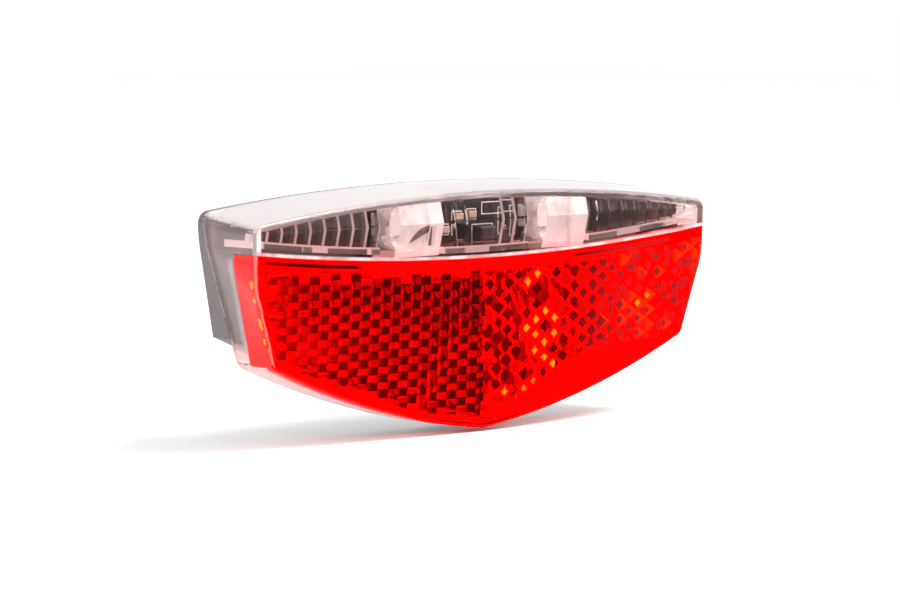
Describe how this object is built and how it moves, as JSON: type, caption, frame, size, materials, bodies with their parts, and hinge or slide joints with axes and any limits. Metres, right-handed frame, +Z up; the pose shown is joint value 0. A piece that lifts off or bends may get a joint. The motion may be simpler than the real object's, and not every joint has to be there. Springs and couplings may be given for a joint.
{
  "type": "bicycle rear light",
  "caption": "Wide, shallow carrier rear light: clear window with a ribbed light guide over a leaning red prism reflector, on a dark tub with M5 studs behind.",
  "frame": {"origin": "on the flat rear face, midway between the two studs", "axes": "+X to the right as seen from behind the bicycle, +Y forwards along the studs into the carrier plate, +Z up"},
  "size_m": [0.117, 0.031, 0.0457],
  "materials": {
    "dark_housing": "fine moulded grain",
    "clear_plastic": "clear, polished",
    "red_plastic": "red transparent, polished",
    "guide_plastic": "clear, polished",
    "white_package": "white, with a clear well",
    "board_black": "black solder resist",
    "black_package": "plain moulded",
    "tan_package": "fired ceramic",
    "capacitor_sleeve": "shrunk sleeve",
    "capacitor_can": "drawn can",
    "tinned_brass": "tinned",
    "seal_rubber": "moulded",
    "zinc_steel": "bright zinc plated"
  },
  "bodies": {
    "lamp": {"base_housing": "dark_housing", "clear_cover": "clear_plastic", "red_reflector": "red_plastic", "reflector_back_plate": "dark_housing", "light_guide": "guide_plastic", "guide_shade_left": "dark_housing", "guide_shade_right": "dark_housing", "collimator_left": "guide_plastic", "collimator_right": "guide_plastic", "led_left": "white_package", "led_right": "white_package", "circuit_board": "board_black", "bridge_rectifier": "black_package", "driver_chip": "black_package", "protection_diodes": "black_package", "chip_resistors": "black_package", "chip_capacitors": "tan_package", "storage_capacitor": "capacitor_sleeve", "filter_capacitor": "capacitor_can", "terminal_ground": "tinned_brass", "terminal_live": "tinned_brass", "terminal_seal": "seal_rubber", "board_screws": "zinc_steel", "stud_left": "zinc_steel", "stud_right": "zinc_steel"},
    "left_washer": {"washer_left": "zinc_steel"},
    "left_nut": {"nut_left": "zinc_steel"},
    "right_washer": {"washer_right": "zinc_steel"},
    "right_nut": {"nut_right": "zinc_steel"}
  },
  "joints": [
    {"name": "left_washer_slide", "type": "slide", "parent": "lamp", "child": "left_washer", "axis": [0, 1, 0], "range_m": [-0.003, 0.006]},
    {"name": "left_nut_turn", "type": "hinge", "parent": "left_washer", "child": "left_nut", "pos_m": [-0.04, 0.004, 0], "axis": [0, 1, 0], "range_deg": [-1350, 2700]},
    {"name": "right_washer_slide", "type": "slide", "parent": "lamp", "child": "right_washer", "axis": [0, 1, 0], "range_m": [-0.003, 0.006]},
    {"name": "right_nut_turn", "type": "hinge", "parent": "right_washer", "child": "right_nut", "pos_m": [0.04, 0.004, 0], "axis": [0, 1, 0], "range_deg": [-1350, 2700]}
  ],
  "couplings": [
    {"joint": "left_nut_turn", "follows": "left_washer_slide", "rad_per_m": 7854},
    {"joint": "right_nut_turn", "follows": "right_washer_slide", "rad_per_m": 7854}
  ]
}
